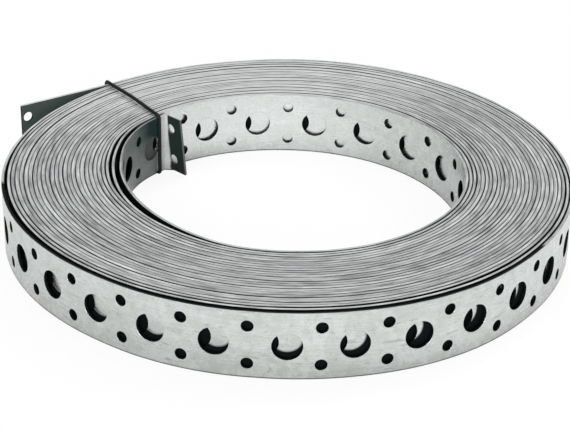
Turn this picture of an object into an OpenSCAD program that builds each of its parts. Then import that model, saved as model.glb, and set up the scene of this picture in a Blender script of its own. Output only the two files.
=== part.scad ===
// Roll of perforated metal strap, lying flat on its side and tied with one loop of soft wire.
// Origin: centre of the roll on the plane it rests on. +Z up, free tail pointing along -X.

/* [Strap] */
// Width of the strap, which is the height of the lying roll
strap_w = 17; // [14:0.5:26]
// Thickness of the strap
strap_t = 0.75; // [0.5:0.05:0.85]
// Diameter of the large holes on the centre line
large_hole_d = 6.9; // [5:0.1:7.5]
// Diameter of the small holes
small_hole_d = 2.8; // [2:0.1:3.2]
// Distance across the strap between the two small holes of a pair
pair_spacing = 9.5; // [8:0.1:11]

/* [Roll] */
// Radius to the outside of the outermost turn
roll_r = 72; // [68:0.5:80]
// Radius of the bore, to the inside of the innermost turn
bore_r = 44.9; // [40:0.1:48]
// Number of turns
turns = 27; // [20:1:32]
// Large holes in one outermost turn, two more than a multiple of 4 so that pairs face +X and -X
holes_per_turn = 30; // [26:4:34]
// Depth of the line between two turns on both end faces
line_depth = 0.4; // [0.1:0.05:1]

/* [Free ends] */
// Direction, seen from the middle of the roll, in which the outer end leaves the roll
tail_az = 101.5; // [98:0.5:106]
// Straight length of the outer end
tail_l = 25; // [24.5:0.1:27]
// Distance from a cut end to the middle of the small pair next to it
end_margin = 2.2; // [1.9:0.1:3]
// Direction of the bent inner end
tab_az = 100.5; // [96:0.5:101]
// Length of the bent inner end, measured inward from the bore
tab_l = 6.2; // [5:0.1:8]
// Inside radius of the bend at the inner end
bend_r = 1; // [0.6:0.1:1.1]

/* [Wire tie] */
// Diameter of the tie wire
wire_d = 1; // [0.8:0.1:1.2]
// Direction of the tie's leg inside the bore
tie_az = 105.85; // [105:0.05:108]
// Angle of the tie's run across the end face
tie_run_az = 90.7; // [90:0.1:92]
// Length of the folded twist
twist_l = 8; // [5:0.5:9]
// Turns in the twist
twist_turns = 2.5; // [1:0.5:3]

/* [Hidden] */

// Spacing of the turns and of the holes
turn_pitch = (roll_r - bore_r - strap_t) / (turns - 1);
turn_gap = turn_pitch - strap_t;
hole_pitch = 2 * PI * (roll_r - strap_t / 2) / holes_per_turn;
outer_step = 360 / holes_per_turn;
mid_z = strap_w / 2;
hole_depth = turn_pitch + 2;

// Gaps behind the loose turns, as the direction where each starts and ends
outer_loose = [122, 300];
second_loose = [123, 185];

// The bore is dented on its tied side: there the turns lie closer to the middle, the innermost one loose.
// Tables of direction and inside radius, of the innermost turn and of the turns behind it. Both walls run on
// into the round of the roll, the innermost turn's thinning out there
dent = [106, 222];
loose_turn = [
    [101, bore_r + 0.2], [105, 44.86], [112, 44.85], [118, 44.7], [126, 44.1], [134, 43.3], [142, 42.55],
    [150, 42.1], [160, 41.6], [175, 41.35], [190, 41.8], [200, 42.5], [210, 43.5], [217, 44.2], [225, 44.86],
    [229, bore_r + 0.2]
];
loose_t = [[101, strap_t - 0.3], [105, strap_t], [225, strap_t], [229, strap_t - 0.3]];
packed_turns = [
    [104.5, 45.7], [112, 46], [118, 45.9], [126, 45.5], [134, 44.95], [142, 44.35], [150, 43.85], [160, 43.6],
    [175, 43.5], [190, 43.8], [200, 44.1], [210, 44.75], [217, 45.2], [222, 45.5], [223.5, 45.55]
];
// Where the gap behind the innermost turn is wide enough for its holes to end in
wide_gap = [111, 212];
second_gap = [[123, 0.15], [130, 0.6], [150, 0.6], [170, 0.3], [185, 0.1]];

// The outer end: where its outside face leaves the round of the roll
tail_root = [roll_r * cos(tail_az), roll_r * sin(tail_az)];
tail_end_x = tail_root.x - tail_l;
tail_embed = 1;
// The outermost turn has no hole of its own between these directions, under the tail's root
bare_from = 98;
bare_to = 112;

// The inner turn's first large hole follows the pair on the bent end
first_inner_az = tab_az + 7.4;
inner_count = 18;
tab_pair_in = 1.9;
// Side of the bore where the holes lie a little further apart, and by how much
stretched = [144, 324];
stretched_by = 0.6;

// The tie: its middle line runs in one upright plane, with q across the section and z up
wire_r = wire_d / 2;
wire_gap = 0.05;
wire_off = wire_r + wire_gap;
wire_sides = 8;
channel_w = wire_d + 0.5;
channel_h = wire_d + 0.2;
tie_in = [(bore_r - wire_off) * cos(tie_az), (bore_r - wire_off) * sin(tie_az)];
run_dir = [cos(tie_run_az), sin(tie_run_az)];
side_dir = [sin(tie_run_az), -cos(tie_run_az)];
tie_in_run = tie_in.x * run_dir.x + tie_in.y * run_dir.y;
q_out = sqrt(tie_in_run ^ 2 - (bore_r - wire_off) ^ 2 + (roll_r + wire_off) ^ 2) - tie_in_run;
top_in_z = strap_w + wire_off;
top_out_z = strap_w + wire_off + 0.75;
low_z = wire_off;
tight_r = 0.6;
outer_bend_r = 1.2;
strand_off = wire_r + 0.02;
q_twist = q_out + 0.25;
twist_side = -1.7;
fold_r = (-twist_side - strand_off) / 2;
twist_top_z = 11.5;

// Inner radius of turn i, counted from 0 at the bore, and a radius inside the line that follows it
function turn_r(i) = bore_r + i * turn_pitch;
function line_r(i, part = 0.25) = turn_r(i) + strap_t + part * turn_gap;

// Points of an arc in a plane, from angle a to angle b
function arc(centre, r, a, b, n) =
    [for (i = [0:n]) centre + r * [cos(a + (b - a) * i / n), sin(a + (b - a) * i / n)]];

// Edge of one turn's end followed by the bottom of the line after it
function turn_end(i, z, dz) = i < turns - 1
    ? [[turn_r(i), z], [turn_r(i) + strap_t, z], [line_r(i, 0.5), z - dz]]
    : [[turn_r(i), z], [roll_r, z]];

function ends(z, dz) = [for (i = [0:turns - 1]) each turn_end(i, z, dz)];

function reversed(list) = [for (i = [len(list) - 1:-1:0]) list[i]];

// The wound turns as one turned solid, with the turns standing out on both end faces
module turned_turns() {
    profile = concat(ends(0, -line_depth), reversed(ends(strap_w, line_depth)));
    rotate_extrude($fn = 180)
        polygon(profile);
}

// Upright wall between two radii that change with direction, given as tables or numbers
module curved_wall(inside, outside, span, h = strap_w) {
    n = ceil((span[1] - span[0]) / 4);
    dirs = [for (i = [0:n]) span[0] + (span[1] - span[0]) * i / n];
    function at(r, az) = (is_list(r) ? lookup(az, r) : r) * [cos(az), sin(az)];
    linear_extrude(h)
        polygon(concat([for (az = dirs) at(inside, az)], reversed([for (az = dirs) at(outside, az)])));
}

// Directions in which a table starts and ends
function span_of(table) = [table[0][0], table[len(table) - 1][0]];

// The same table, moved outward by d or by another table
function moved(table, d) = [for (row = table) [row[0], row[1] + (is_list(d) ? lookup(row[0], d) : d)]];

// The turns that bulge into the bore: packed ones that fill the dent, and the loose innermost one
module dented_turns() {
    curved_wall(packed_turns, turn_r(1) + 0.6, span_of(packed_turns));
    curved_wall(loose_turn, moved(loose_turn, loose_t), span_of(loose_turn));
}

// Open gap behind the second turn of the dent
module second_loose_gap() {
    from = moved(packed_turns, strap_t);
    translate([0, 0, -1])
        curved_wall(from, moved(from, second_gap), second_loose, strap_w + 2);
}

// Open gap between a loose turn and its neighbour
module loose_gap(r_from, r_to, span) {
    rotate([0, 0, span[0]])
        rotate_extrude(angle = span[1] - span[0], $fn = 180)
            translate([r_from, -1])
                square([r_to - r_from, strap_w + 2]);
}

module round_hole(d, l) {
    rotate([0, 90, 0])
        cylinder(d = d, h = l, $fn = 32);
}

module hole_pair(l) {
    for (side = [-1, 1])
        translate([0, 0, side * pair_spacing / 2])
            round_hole(small_hole_d, l);
}

// Places a cutter that runs along +X on the roll, starting at radius r in direction az
module at_radius(az, r) {
    rotate([0, 0, az])
        translate([r, 0, mid_z])
            children();
}

function bare(az) = az > bare_from && az < bare_to;

// Perforation of the outermost turn: large holes face -Y and +Y, pairs face -X and +X
module outer_perforation() {
    for (i = [0:holes_per_turn - 1]) {
        large_az = i * outer_step - 90;
        pair_az = large_az + outer_step / 2;
        if (!bare(large_az))
            at_radius(large_az, roll_r - turn_pitch)
                round_hole(large_hole_d, hole_depth);
        if (!bare(pair_az))
            at_radius(pair_az, roll_r - turn_pitch)
                hole_pair(hole_depth);
    }
}

// Inside radius of the innermost turn in one direction
function inner_r(az) = min(bore_r, lookup(az, loose_turn));

// Direction of the innermost turn's hole or pair number i, half a spacing on from the one before
function inner_az(i) = i == 0 ? first_inner_az : let (
    az = inner_az(i - 1),
    step = hole_pitch + (az > stretched[0] && az < stretched[1] ? stretched_by : 0)
) az + step / 2 / (inner_r(az + 4.5) + strap_t / 2) * 180 / PI;

// Perforation of the innermost turn, from the bent end round to where that turn starts again
module inner_perforation() {
    for (i = [0:2 * inner_count - 2])
        let (
            az = inner_az(i),
            from = inner_r(az) - 2,
            to = az > wide_gap[0] && az < wide_gap[1] ? from + 2 + strap_t + 0.15 : turn_r(1) + 0.2
        )
            at_radius(az, from)
                if (i % 2 == 0)
                    round_hole(large_hole_d, to - from);
                else
                    hole_pair(to - from);
}

// Straight outer end, leaving the roll along -X
module tail() {
    translate([tail_end_x, tail_root.y - strap_t, 0])
        cube([tail_l + tail_embed, strap_t, strap_w]);
}

module tail_perforation() {
    for (i = [0, 2])
        translate([tail_end_x + end_margin + i * hole_pitch / 2, tail_root.y - 2 * strap_t, mid_z])
            rotate([0, 0, 90])
                hole_pair(3 * strap_t);
    translate([tail_end_x + end_margin + hole_pitch / 2, tail_root.y - 2 * strap_t, mid_z])
        rotate([0, 0, 90])
            round_hole(large_hole_d, 3 * strap_t);
}

// Inner end, bent inward across the bore; u runs round the bore and v towards its middle
module inner_tab() {
    embed = 0.5;
    dip = 0.03;
    bend = arc([strap_t / 2 + bend_r, bend_r - dip], bend_r, 180, 270, 8);
    outline = concat(
        [[-strap_t / 2, -embed], [-strap_t / 2, tab_l], [strap_t / 2, tab_l]],
        bend,
        [[strap_t / 2 + bend_r, -embed]]
    );
    rotate([0, 0, tab_az + 90])
        translate([0, -bore_r, 0])
            linear_extrude(strap_w)
                polygon(outline);
}

module tab_perforation() {
    rotate([0, 0, tab_az + 90])
        translate([-strap_t, tab_pair_in - bore_r, mid_z])
            hole_pair(2 * strap_t);
}

// Shallow bed across the underside, so that the roll still lies flat over the tie
module tie_channel() {
    translate([tie_in.x, tie_in.y, 0])
        rotate([0, 0, tie_run_az])
            translate([-2, -channel_w / 2, -1])
                cube([q_out + 4, channel_w, channel_h + 1]);
}

module perforated_strap() {
    color([0.66, 0.69, 0.69])
        difference() {
            union() {
                difference() {
                    turned_turns();
                    loose_gap(line_r(turns - 3, 0.6), line_r(turns - 2, 0.75), outer_loose);
                    loose_gap(bore_r - 1, turn_r(1) + 0.4, dent);
                }
                dented_turns();
                tail();
                inner_tab();
            }
            second_loose_gap();
            outer_perforation();
            inner_perforation();
            tail_perforation();
            tab_perforation();
            tie_channel();
        }
}

// A point of the tie's middle line from its place in the tie's own plane
function tie_point(q, z, side = 0) = [
    tie_in.x + q * run_dir.x + side * side_dir.x,
    tie_in.y + q * run_dir.y + side * side_dir.y,
    z
];

// One strand of the twist, from the fold down to its free end
function strand(start, n = 20) = [for (i = [0:n])
    let (a = start + 360 * twist_turns * i / n)
    tie_point(q_twist + strand_off * sin(a), twist_top_z - twist_l * i / n, twist_side + strand_off * cos(a))];

function lifted(points, side) = [for (p = points) tie_point(p.x, p.y, side)];

// The fold beside the outer leg, where the wire turns over into the twist
fold = [for (p = arc([-fold_r, twist_top_z], fold_r, 0, 150, 6)) tie_point(q_out + 0.1, p.y, p.x)];

// The whole wire, from one end of the twist round the section and back to the other end
tie_route = concat(
    reversed(strand(180)),
    [
        tie_point(q_twist, 12.6, twist_side - 0.3),
        tie_point(q_out + 0.2, 14, -1.3),
        tie_point(q_out + 0.1, 15.3, -0.5)
    ],
    lifted(arc([q_out - outer_bend_r, top_out_z - outer_bend_r], outer_bend_r, 0, 90, 6), 0),
    [for (i = [1:7]) tie_point(
        q_out - outer_bend_r - (q_out - outer_bend_r - tight_r) * i / 8,
        top_out_z + (top_in_z - top_out_z) * (1 - cos(22.5 * i)) / 2)],
    lifted(arc([tight_r, top_in_z - tight_r], tight_r, 90, 180, 5), 0),
    [for (i = [1:4]) tie_point(0, top_in_z - tight_r - (top_in_z - low_z - 2 * tight_r) * i / 5)],
    lifted(arc([tight_r, low_z + tight_r], tight_r, 180, 270, 5), 0),
    [for (i = [1:7]) tie_point(tight_r + (q_out - 2 * tight_r) * i / 8, low_z)],
    lifted(arc([q_out - tight_r, low_z + tight_r], tight_r, 270, 360, 5), 0),
    [for (z = [3.5, 6.5, 9.5]) tie_point(q_out, z)],
    fold,
    strand(0)
);

function unit(v) = v / norm(v);

// Direction of the route at point i
function heading(i) = let (last = len(tie_route) - 1)
    unit(tie_route[min(i + 1, last)] - tie_route[max(i - 1, 0)]);

// One ring of the wire's skin; the normal of the tie's plane keeps the rings in step
function ring(i) =
    let (
        ahead = heading(i),
        across = unit(cross(ahead, [side_dir.x, side_dir.y, 0])),
        up = cross(across, ahead)
    )
    [for (k = [0:wire_sides - 1])
        tie_route[i] + wire_r * (cos(360 * k / wire_sides) * across + sin(360 * k / wire_sides) * up)];

module tie_wire() {
    rings = len(tie_route);
    points = [for (i = [0:rings - 1]) each ring(i)];
    skin = [for (i = [0:rings - 2], k = [0:wire_sides - 1])
        let (a = i * wire_sides + k, b = i * wire_sides + (k + 1) % wire_sides)
        [a, b, b + wire_sides, a + wire_sides]];
    first_end = [for (k = [wire_sides - 1:-1:0]) k];
    last_end = [for (k = [0:wire_sides - 1]) (rings - 1) * wire_sides + k];
    color([0.06, 0.06, 0.06])
        polyhedron(points, concat(skin, [first_end, last_end]));
}

perforated_strap();
tie_wire();
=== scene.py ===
"""A roll of perforated galvanised strap, lying flat and tied with a twisted black wire.

The strap is one spiral of 27 turns. Its perforation is made flat, as unit cells, and Geometry Nodes lay the
cells end to end and bend them along the spiral. All sizes are in millimetres and become metres in the meshes.
"""

import logging
import math
from dataclasses import dataclass, field
from enum import Enum
from functools import reduce
from typing import Any, Mapping, Sequence

import bpy
import numpy as np
from mathutils import Matrix, Vector


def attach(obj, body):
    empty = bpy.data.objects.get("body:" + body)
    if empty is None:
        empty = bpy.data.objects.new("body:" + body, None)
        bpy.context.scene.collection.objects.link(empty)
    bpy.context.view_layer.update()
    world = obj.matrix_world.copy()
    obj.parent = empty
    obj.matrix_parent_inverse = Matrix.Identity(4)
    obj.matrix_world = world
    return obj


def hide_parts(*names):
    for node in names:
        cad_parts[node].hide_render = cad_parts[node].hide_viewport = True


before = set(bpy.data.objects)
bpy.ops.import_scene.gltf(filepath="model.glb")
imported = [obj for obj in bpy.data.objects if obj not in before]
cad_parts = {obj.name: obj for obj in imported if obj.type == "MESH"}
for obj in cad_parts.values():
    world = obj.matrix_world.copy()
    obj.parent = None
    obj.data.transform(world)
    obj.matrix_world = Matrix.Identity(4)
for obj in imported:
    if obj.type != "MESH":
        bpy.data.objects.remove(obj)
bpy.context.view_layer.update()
LOG = logging.getLogger("strap_roll")

# Metres in a millimetre, degrees in a turn, and a length past the end of the strap.
MM = 0.001
FULL_TURN = 360.0
NEVER = 1e6
# How close two heights count as one, how far before a step the next cell is looked for, and the distance
# within which the cells' points are welded.
TOUCH = 1e-6
JUST_BEFORE = 0.01
WELD = 0.004
# Marks the second layer in the shading attribute, where distances up to MARK_REACH are added to it.
UNDER_MARK = 100.0
MARK_REACH = 9.0

Point = tuple[float, float, float]
Colour = tuple[float, float, float, float]
# Line length, line width and blotch size of the metal grain.
Grain = tuple[float, float, float]
# The ends of a ramp from 0 to 1, and the ends of a ramp with what it gives at each.
Range = tuple[float, float]
Ramp = tuple[float, float, float, float]
# Places in order, each with its value.
Stations = tuple[tuple[float, float], ...]
Socket = bpy.types.NodeSocket
Sockets = Mapping[str, bpy.types.NodeSocket]


class Graph:
    """Adds nodes to one node tree and wires them by socket name or number."""

    def __init__(self, tree: bpy.types.NodeTree) -> None:
        """Keeps the tree that the nodes go into."""
        self.tree = tree
        self.placed = 0

    def add(self, kind: str, inputs: Mapping[Any, Any] | None = None, **settings: Any) -> bpy.types.Node:
        """Adds a node.

        Args:
            kind: The node's type name.
            inputs: Values or sockets by input name or number.
            **settings: The node's own options.

        Returns:
            The new node.
        """
        node = self.tree.nodes.new(kind)
        node.location = (230 * (self.placed // 4), -270 * (self.placed % 4))
        self.placed += 1
        for name, value in settings.items():
            setattr(node, name, value)
        for key, value in (inputs or {}).items():
            self.feed(node.inputs[key], value)
        return node

    def feed(self, socket: bpy.types.NodeSocket, value: Any) -> None:
        """Wires a socket or node into an input, or sets the input's own value.

        Args:
            socket: The input.
            value: A socket, a node whose first output is meant, or a plain value.
        """
        if isinstance(value, bpy.types.Node):
            value = value.outputs[0]
        if isinstance(value, bpy.types.NodeSocket):
            self.tree.links.new(value, socket)
        else:
            socket.default_value = value

    def math(self, operation: str, *values: Any) -> Socket:
        """Adds a maths node and returns its result."""
        return self.add("ShaderNodeMath", dict(enumerate(values)), operation=operation).outputs[0]

    def times(self, *values: Any) -> Socket:
        """Multiplies two or more values and returns the product."""
        return reduce(lambda one, other: self.math("MULTIPLY", one, other), values)

    def most(self, *values: Any) -> Socket:
        """Returns the largest of two or more values."""
        return reduce(lambda one, other: self.math("MAXIMUM", one, other), values)

    def weighed(self, values: Sequence[Any], weights: Sequence[float]) -> Socket:
        """Adds up some values, each times its weight, and returns the sum."""
        parts = (self.math("MULTIPLY", value, weight) for value, weight in zip(values, weights))
        return reduce(lambda one, other: self.math("ADD", one, other), parts)

    def vector(self, operation: str, *values: Any) -> Socket:
        """Adds a vector maths node and returns its vector, or its number for a dot product."""
        node = self.add("ShaderNodeVectorMath", dict(enumerate(values)), operation=operation)
        return node.outputs["Value" if operation == "DOT_PRODUCT" else "Vector"]

    def scaled(self, vector: Any, factor: Any) -> Socket:
        """Returns the vector times a number."""
        return self.add("ShaderNodeVectorMath", {0: vector, "Scale": factor}, operation="SCALE").outputs[0]

    def ramp(self, value: Any, low: Any, high: Any, out_low: Any = 0.0, out_high: Any = 1.0) -> Socket:
        """Maps a value from one range onto another, clamped at both ends, and returns it."""
        return self.add("ShaderNodeMapRange", {"Value": value, "From Min": low, "From Max": high,
                                               "To Min": out_low, "To Max": out_high}, clamp=True).outputs[0]

    def mix(self, factor: Any, first: Any, second: Any) -> Socket:
        """Mixes two colours and returns the result."""
        return self.add("ShaderNodeMix", {0: factor, 6: first, 7: second}, data_type="RGBA").outputs[2]

    def group(self, grain: bpy.types.NodeTree, place: Socket, sizes: Grain) -> Sockets:
        """Adds the grain group.

        Args:
            grain: The shared grain group.
            place: Where the pattern is read.
            sizes: Line length, line width and blotch size.

        Returns:
            The group's outputs.
        """
        node = self.add("ShaderNodeGroup", node_tree=grain)
        for key, value in zip(("Place", "Line Length", "Line Width", "Blotch Size"), (place, *sizes)):
            self.feed(node.inputs[key], value)
        return node.outputs


def cleared(owner: bpy.types.Material | bpy.types.World) -> Graph:
    """Empties the node tree of a material or world.

    Args:
        owner: The material or world.

    Returns:
        A graph that fills its tree.
    """
    owner.use_nodes = True
    owner.node_tree.nodes.clear()
    return Graph(owner.node_tree)


def add_sockets(tree: bpy.types.NodeTree, direction: str, sockets: Mapping[str, str]) -> dict[str, str]:
    """Gives a node group its named sockets.

    Args:
        tree: The node group.
        direction: "INPUT" or "OUTPUT".
        sockets: Socket types by name.

    Returns:
        The sockets' identifiers by name.
    """
    return {name: tree.interface.new_socket(name=name, in_out=direction, socket_type=kind).identifier
            for name, kind in sockets.items()}


# ------------------------------------------------------------------------------------ the lay of the turns


def bell(reach: int, width: float) -> np.ndarray:
    """Weights of a bell curve, which sum to one.

    Args:
        reach: Steps on each side of its middle.
        width: Its spread in steps.

    Returns:
        One weight for each step.
    """
    weights = np.exp(-0.5 * (np.arange(-reach, reach + 1) / width) ** 2)
    return weights / weights.sum()


def smooth_round(stations: Stations, az: np.ndarray) -> np.ndarray:
    """Reads a value that is given at some directions round the roll, with the corners rounded off.

    Args:
        stations: Pairs of direction in degrees and value, in order.
        az: Directions to read at, in degrees.

    Returns:
        The value at each direction.
    """
    # Grid step in degrees, and the bell's reach and spread in grid steps.
    step, reach, width = 0.5, 60, 10.0
    grid = np.arange(0.0, FULL_TURN, step)
    raw = np.interp(grid, *zip(*stations), period=FULL_TURN)
    around = np.concatenate([raw[-reach:], raw, raw[:reach]])
    smooth = np.convolve(around, bell(reach, width), mode="same")[reach:-reach]
    return np.interp(az, grid, smooth, period=FULL_TURN)


@dataclass
class Lay:
    """Where the strap runs: the tab inside the bore, the spiral of turns and the loose outer end.

    Angles are in degrees, anticlockwise from +x as seen from above. Turn 0 is the innermost one.

    Attributes:
        turns: Number of turns.
        thickness: The strip's thickness.
        height: Height of the strap's middle over its lower edge.
        start_az: Direction of the bend of the tab.
        root_az: Direction in which the outer end leaves the roll.
        zero_az: Direction from which each turn is counted.
        step_az: Spacing of the spiral's points.
        ease_az: Stretch over which waves die out at both ends.
        tab_length, tab_steps: The tab's straight part.
        tab_bend_radius, tab_bend, tab_bend_steps: Its bend.
        tab_lean: How far the tab leans over, as a slope.
        inner_lean: The lean of the strap after the bend, by direction.
        tail_bend_radius, tail_bend_steps: The bend where the outer end leaves the roll.
        tail_end_x, tail_steps: Where the outer end stops.
        inner_face: Radius of the bore, by direction.
        pitch: Room that one turn takes, by direction.
        loose: For some turns, how far they stand off the even spiral, by direction.
        loose_reach, loose_width: Rounding of those tables, in degrees.
        ripple, ripple_step: Size and spacing of the waves in plan.
        rise, rise_step: Size and spacing of the waves in height.
        clear_of_floor: Least gap over the floor.
        seam, seam_spread, seam_steps, seam_least: The gap seen between covered turns, and how it varies.
        fullest: Largest factor on a covered turn's thickness.
        packed, packed_ease: First and last covered turn, and the part of a turn over which they begin.
        seed: Fixed seed of all waves.
    """

    turns: int = 27
    thickness: float = 0.75
    height: float = 8.5
    start_az: float = 102.5
    root_az: float = 97.5
    zero_az: float = 101.0
    step_az: float = 1.5
    ease_az: float = 30.0
    tab_length: float = 4.9
    tab_steps: int = 6
    tab_bend_radius: float = 1.4
    tab_bend: float = 92.0
    tab_bend_steps: int = 14
    tab_lean: float = 0.11
    inner_lean: Stations = ((102, 0.05), (135, 0.05), (160, 0.02), (190, 0.0))
    tail_bend_radius: float = 15.0
    tail_bend_steps: int = 6
    tail_end_x: float = -39.35
    tail_steps: int = 20
    inner_face: Stations = (
        (0, 44.12), (60, 44.1), (75, 44.5), (90, 45.0), (101, 45.3), (106, 45.3), (120, 44.4), (130, 43.96),
        (150, 42.95), (175, 42.18), (190, 42.7), (200, 43.1), (210, 43.6), (217, 43.85), (240, 44.31),
        (300, 44.65))
    pitch: Stations = (
        (0, 1.015), (54, 1.01), (62, 0.988), (75, 0.962), (90, 0.95), (106, 0.95), (120, 1.0), (130, 1.03),
        (150, 1.07), (175, 1.098), (190, 1.07), (200, 1.05), (210, 1.03), (217, 1.02), (240, 1.004),
        (300, 0.996))
    loose: tuple[tuple[int, Stations], ...] = (
        (0, ((101, 0), (106, 0.05), (112, 0.26), (117, 0.3), (126, -0.06), (130, -0.29), (140, -0.93),
             (150, -0.95), (160, -1.2), (175, -1.05), (190, -1.16), (200, -0.89), (210, -0.41), (217, 0),
             (461, 0))),
        (1, ((101, 0.1), (108, 0.25), (112, 0.47), (116, 0.75), (120, 0.67), (125, 0.4), (130, 0.03),
             (135, -0.2), (140, -0.42), (150, -0.46), (155, -0.4), (160, -0.32), (170, -0.03), (180, 0.15),
             (190, -0.1), (200, -0.25), (220, 0), (461, 0))),
        (2, ((101, 0), (108, 0.3), (112, 0.45), (116, 0.65), (120, 0.75), (125, 0.75), (130, 0.48),
             (135, 0.22), (140, 0.06), (160, 0.1), (170, 0.14), (190, 0), (461, 0))),
        (3, ((101, 0), (110, 0.35), (116, 0.5), (124, 0.58), (134, 0.08), (160, 0), (461, 0))),
        (4, ((101, 0), (110, 0.2), (124, 0.38), (134, 0), (461, 0))),
        (5, ((101, 0), (110, 0.1), (124, 0.2), (134, 0), (461, 0))),
        (24, ((101, 0), (195, 0), (203, 0.2), (225, 0.2), (240, 0), (461, 0))),
        (25, ((101, 0), (195, 0), (203, 0.2), (225, 0.35), (240, 0.4), (257, 0.58), (275, 0.58), (292, 0.1),
              (330, 0), (461, 0))),
        (26, ((101, 0), (122, 0), (140, 0.2), (163, 0.5), (185, 0.55), (200, 0.65), (207, 1.0), (222, 1.1),
              (228, 0.85), (250, 0.8), (256, 1.0), (272, 0.95), (285, 0.3), (300, 0.2), (345, 0.05),
              (461, 0))))
    loose_reach: int = 9
    loose_width: float = 3.0
    ripple: float = 0.07
    ripple_step: float = 27.0
    rise: float = 0.12
    rise_step: float = 61.0
    clear_of_floor: float = 0.01
    seam: float = 0.034
    seam_spread: float = 0.045
    seam_steps: tuple[float, float] = (9.0, 170.0)
    seam_least: float = 0.01
    fullest: float = 1.45
    packed: tuple[float, float] = (3.1, 24.3)
    packed_ease: float = 0.15
    seed: int = 7

    @property
    def tab_points(self) -> int:
        """Number of points on the tab and its bend, before the spiral starts."""
        return self.tab_bend_steps + self.tab_steps

    def radius(self, phi: np.ndarray) -> np.ndarray:
        """Radius of the strap's middle line.

        Args:
            phi: Winding angles in degrees, from the inner end on.

        Returns:
            The radii in millimetres.
        """
        az, turn = phi % FULL_TURN, (phi - self.zero_az) / FULL_TURN
        radius = smooth_round(self.inner_face, az) + smooth_round(self.pitch, az) * turn + self.thickness / 2
        weights = bell(self.loose_reach, self.loose_width)
        for index, stations in self.loose:
            at = [FULL_TURN * index + station[0] for station in stations]
            wide = np.arange(at[0], at[-1] + 1.0)
            raw = np.interp(wide, at, [station[1] for station in stations])
            radius += np.interp(phi, wide, np.convolve(raw, weights, mode="same"), left=0, right=0)
        return radius

    def waves(self, phi: np.ndarray, size: float, step: float, seed: int) -> np.ndarray:
        """Small smooth irregularities along the strap.

        Args:
            phi: Winding angles in degrees.
            size: Largest departure.
            step: Spacing of the random stations in degrees.
            seed: Fixed seed.

        Returns:
            The departure at each angle.
        """
        stations = np.arange(phi[0] - step, phi[-1] + 2 * step, step)
        values = np.random.default_rng(seed).uniform(-size, size, len(stations))
        place = (phi - stations[0]) / step
        low = np.floor(place).astype(int)
        part = place - low
        part = part * part * (3 - 2 * part)
        return values[low] * (1 - part) + values[low + 1] * part

    def spiral(self) -> np.ndarray:
        """Gives the strap's middle line over the wound turns.

        Returns:
            Its points in millimetres.
        """
        last = self.root_az + FULL_TURN * self.turns
        phi = np.arange(self.start_az, last, self.step_az)
        phi = np.append(phi[phi < last - self.step_az / 2], last)
        ease = np.clip((phi - phi[0]) / self.ease_az, 0, 1) * np.clip((phi[-1] - phi) / self.ease_az, 0, 1)
        radius = self.radius(phi) + ease * self.waves(phi, self.ripple, self.ripple_step, self.seed)
        rise = self.rise + ease * self.waves(phi, self.rise, self.rise_step, self.seed + 1)
        a = np.radians(phi)
        return np.column_stack([radius * np.cos(a), radius * np.sin(a),
                                self.height + self.clear_of_floor + rise])

    @staticmethod
    def level(step: np.ndarray) -> np.ndarray:
        """Unit heading of a step, seen from above."""
        flat = step * np.array([1.0, 1.0, 0.0])
        return flat / np.linalg.norm(flat)

    @staticmethod
    def bend(start: np.ndarray, heading: np.ndarray, radius: float, turn: float,
             steps: int) -> tuple[list[np.ndarray], np.ndarray]:
        """Runs round a bend.

        Args:
            start: Point the bend starts at.
            heading: Unit heading there.
            radius: Bend radius of the middle line.
            turn: Turn in degrees, positive anticlockwise from above.
            steps: Number of points.

        Returns:
            The points after the start, and the heading at the end.
        """

        def turned(arm: np.ndarray, angle: float) -> np.ndarray:
            """Turns a level vector by an angle in radians."""
            c, s = math.cos(angle), math.sin(angle)
            return np.array([c * arm[0] - s * arm[1], s * arm[0] + c * arm[1], 0.0])

        side = math.copysign(1.0, turn)
        centre = start + side * radius * np.array([-heading[1], heading[0], 0.0])
        points = [centre + turned(start - centre, math.radians(turn) * i / steps)
                  for i in range(1, steps + 1)]
        return points, turned(heading, math.radians(turn))

    @staticmethod
    def straight_on(points: list[np.ndarray], heading: np.ndarray, reach: float, steps: int) -> None:
        """Runs straight on from the last of some points.

        Args:
            points: The points, which the new ones are added to.
            heading: Unit heading.
            reach: Distance to run.
            steps: Number of new points.
        """
        start = points[-1]
        points.extend(start + heading * reach * i / steps for i in range(1, steps + 1))

    def points(self) -> tuple[np.ndarray, np.ndarray, np.ndarray]:
        """The whole middle line.

        Returns:
            Points from the tab's end to the outer end, how far the strap leans at each, and its fullness.
        """
        body = self.spiral()
        tab, heading = self.bend(body[0], self.level(body[0] - body[1]), self.tab_bend_radius, -self.tab_bend,
                                 self.tab_bend_steps)
        self.straight_on(tab, heading, self.tab_length, self.tab_steps)
        leaving = self.level(body[-1] - body[-2])
        swing = -math.degrees(math.atan2(-leaving[1], -leaving[0]))
        tail, heading = self.bend(body[-1], leaving, self.tail_bend_radius, swing, self.tail_bend_steps)
        self.straight_on(tail, heading, tail[-1][0] - self.tail_end_x, self.tail_steps)
        line = np.vstack([np.array(tab[::-1]), body, np.array(tail)])
        bent, straight = self.tab_points, self.tab_steps
        phi = self.start_az + self.step_az * (np.arange(len(line)) - bent)
        lean = np.interp(phi, *zip(*self.inner_lean))
        lean[:straight] = self.tab_lean
        lean[straight:bent] = np.linspace(self.tab_lean, self.inner_lean[0][1], bent - straight)
        fullness = np.ones(len(line))
        fullness[bent:bent + len(body)] = self.fullness(body)
        return line, lean, fullness

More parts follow.
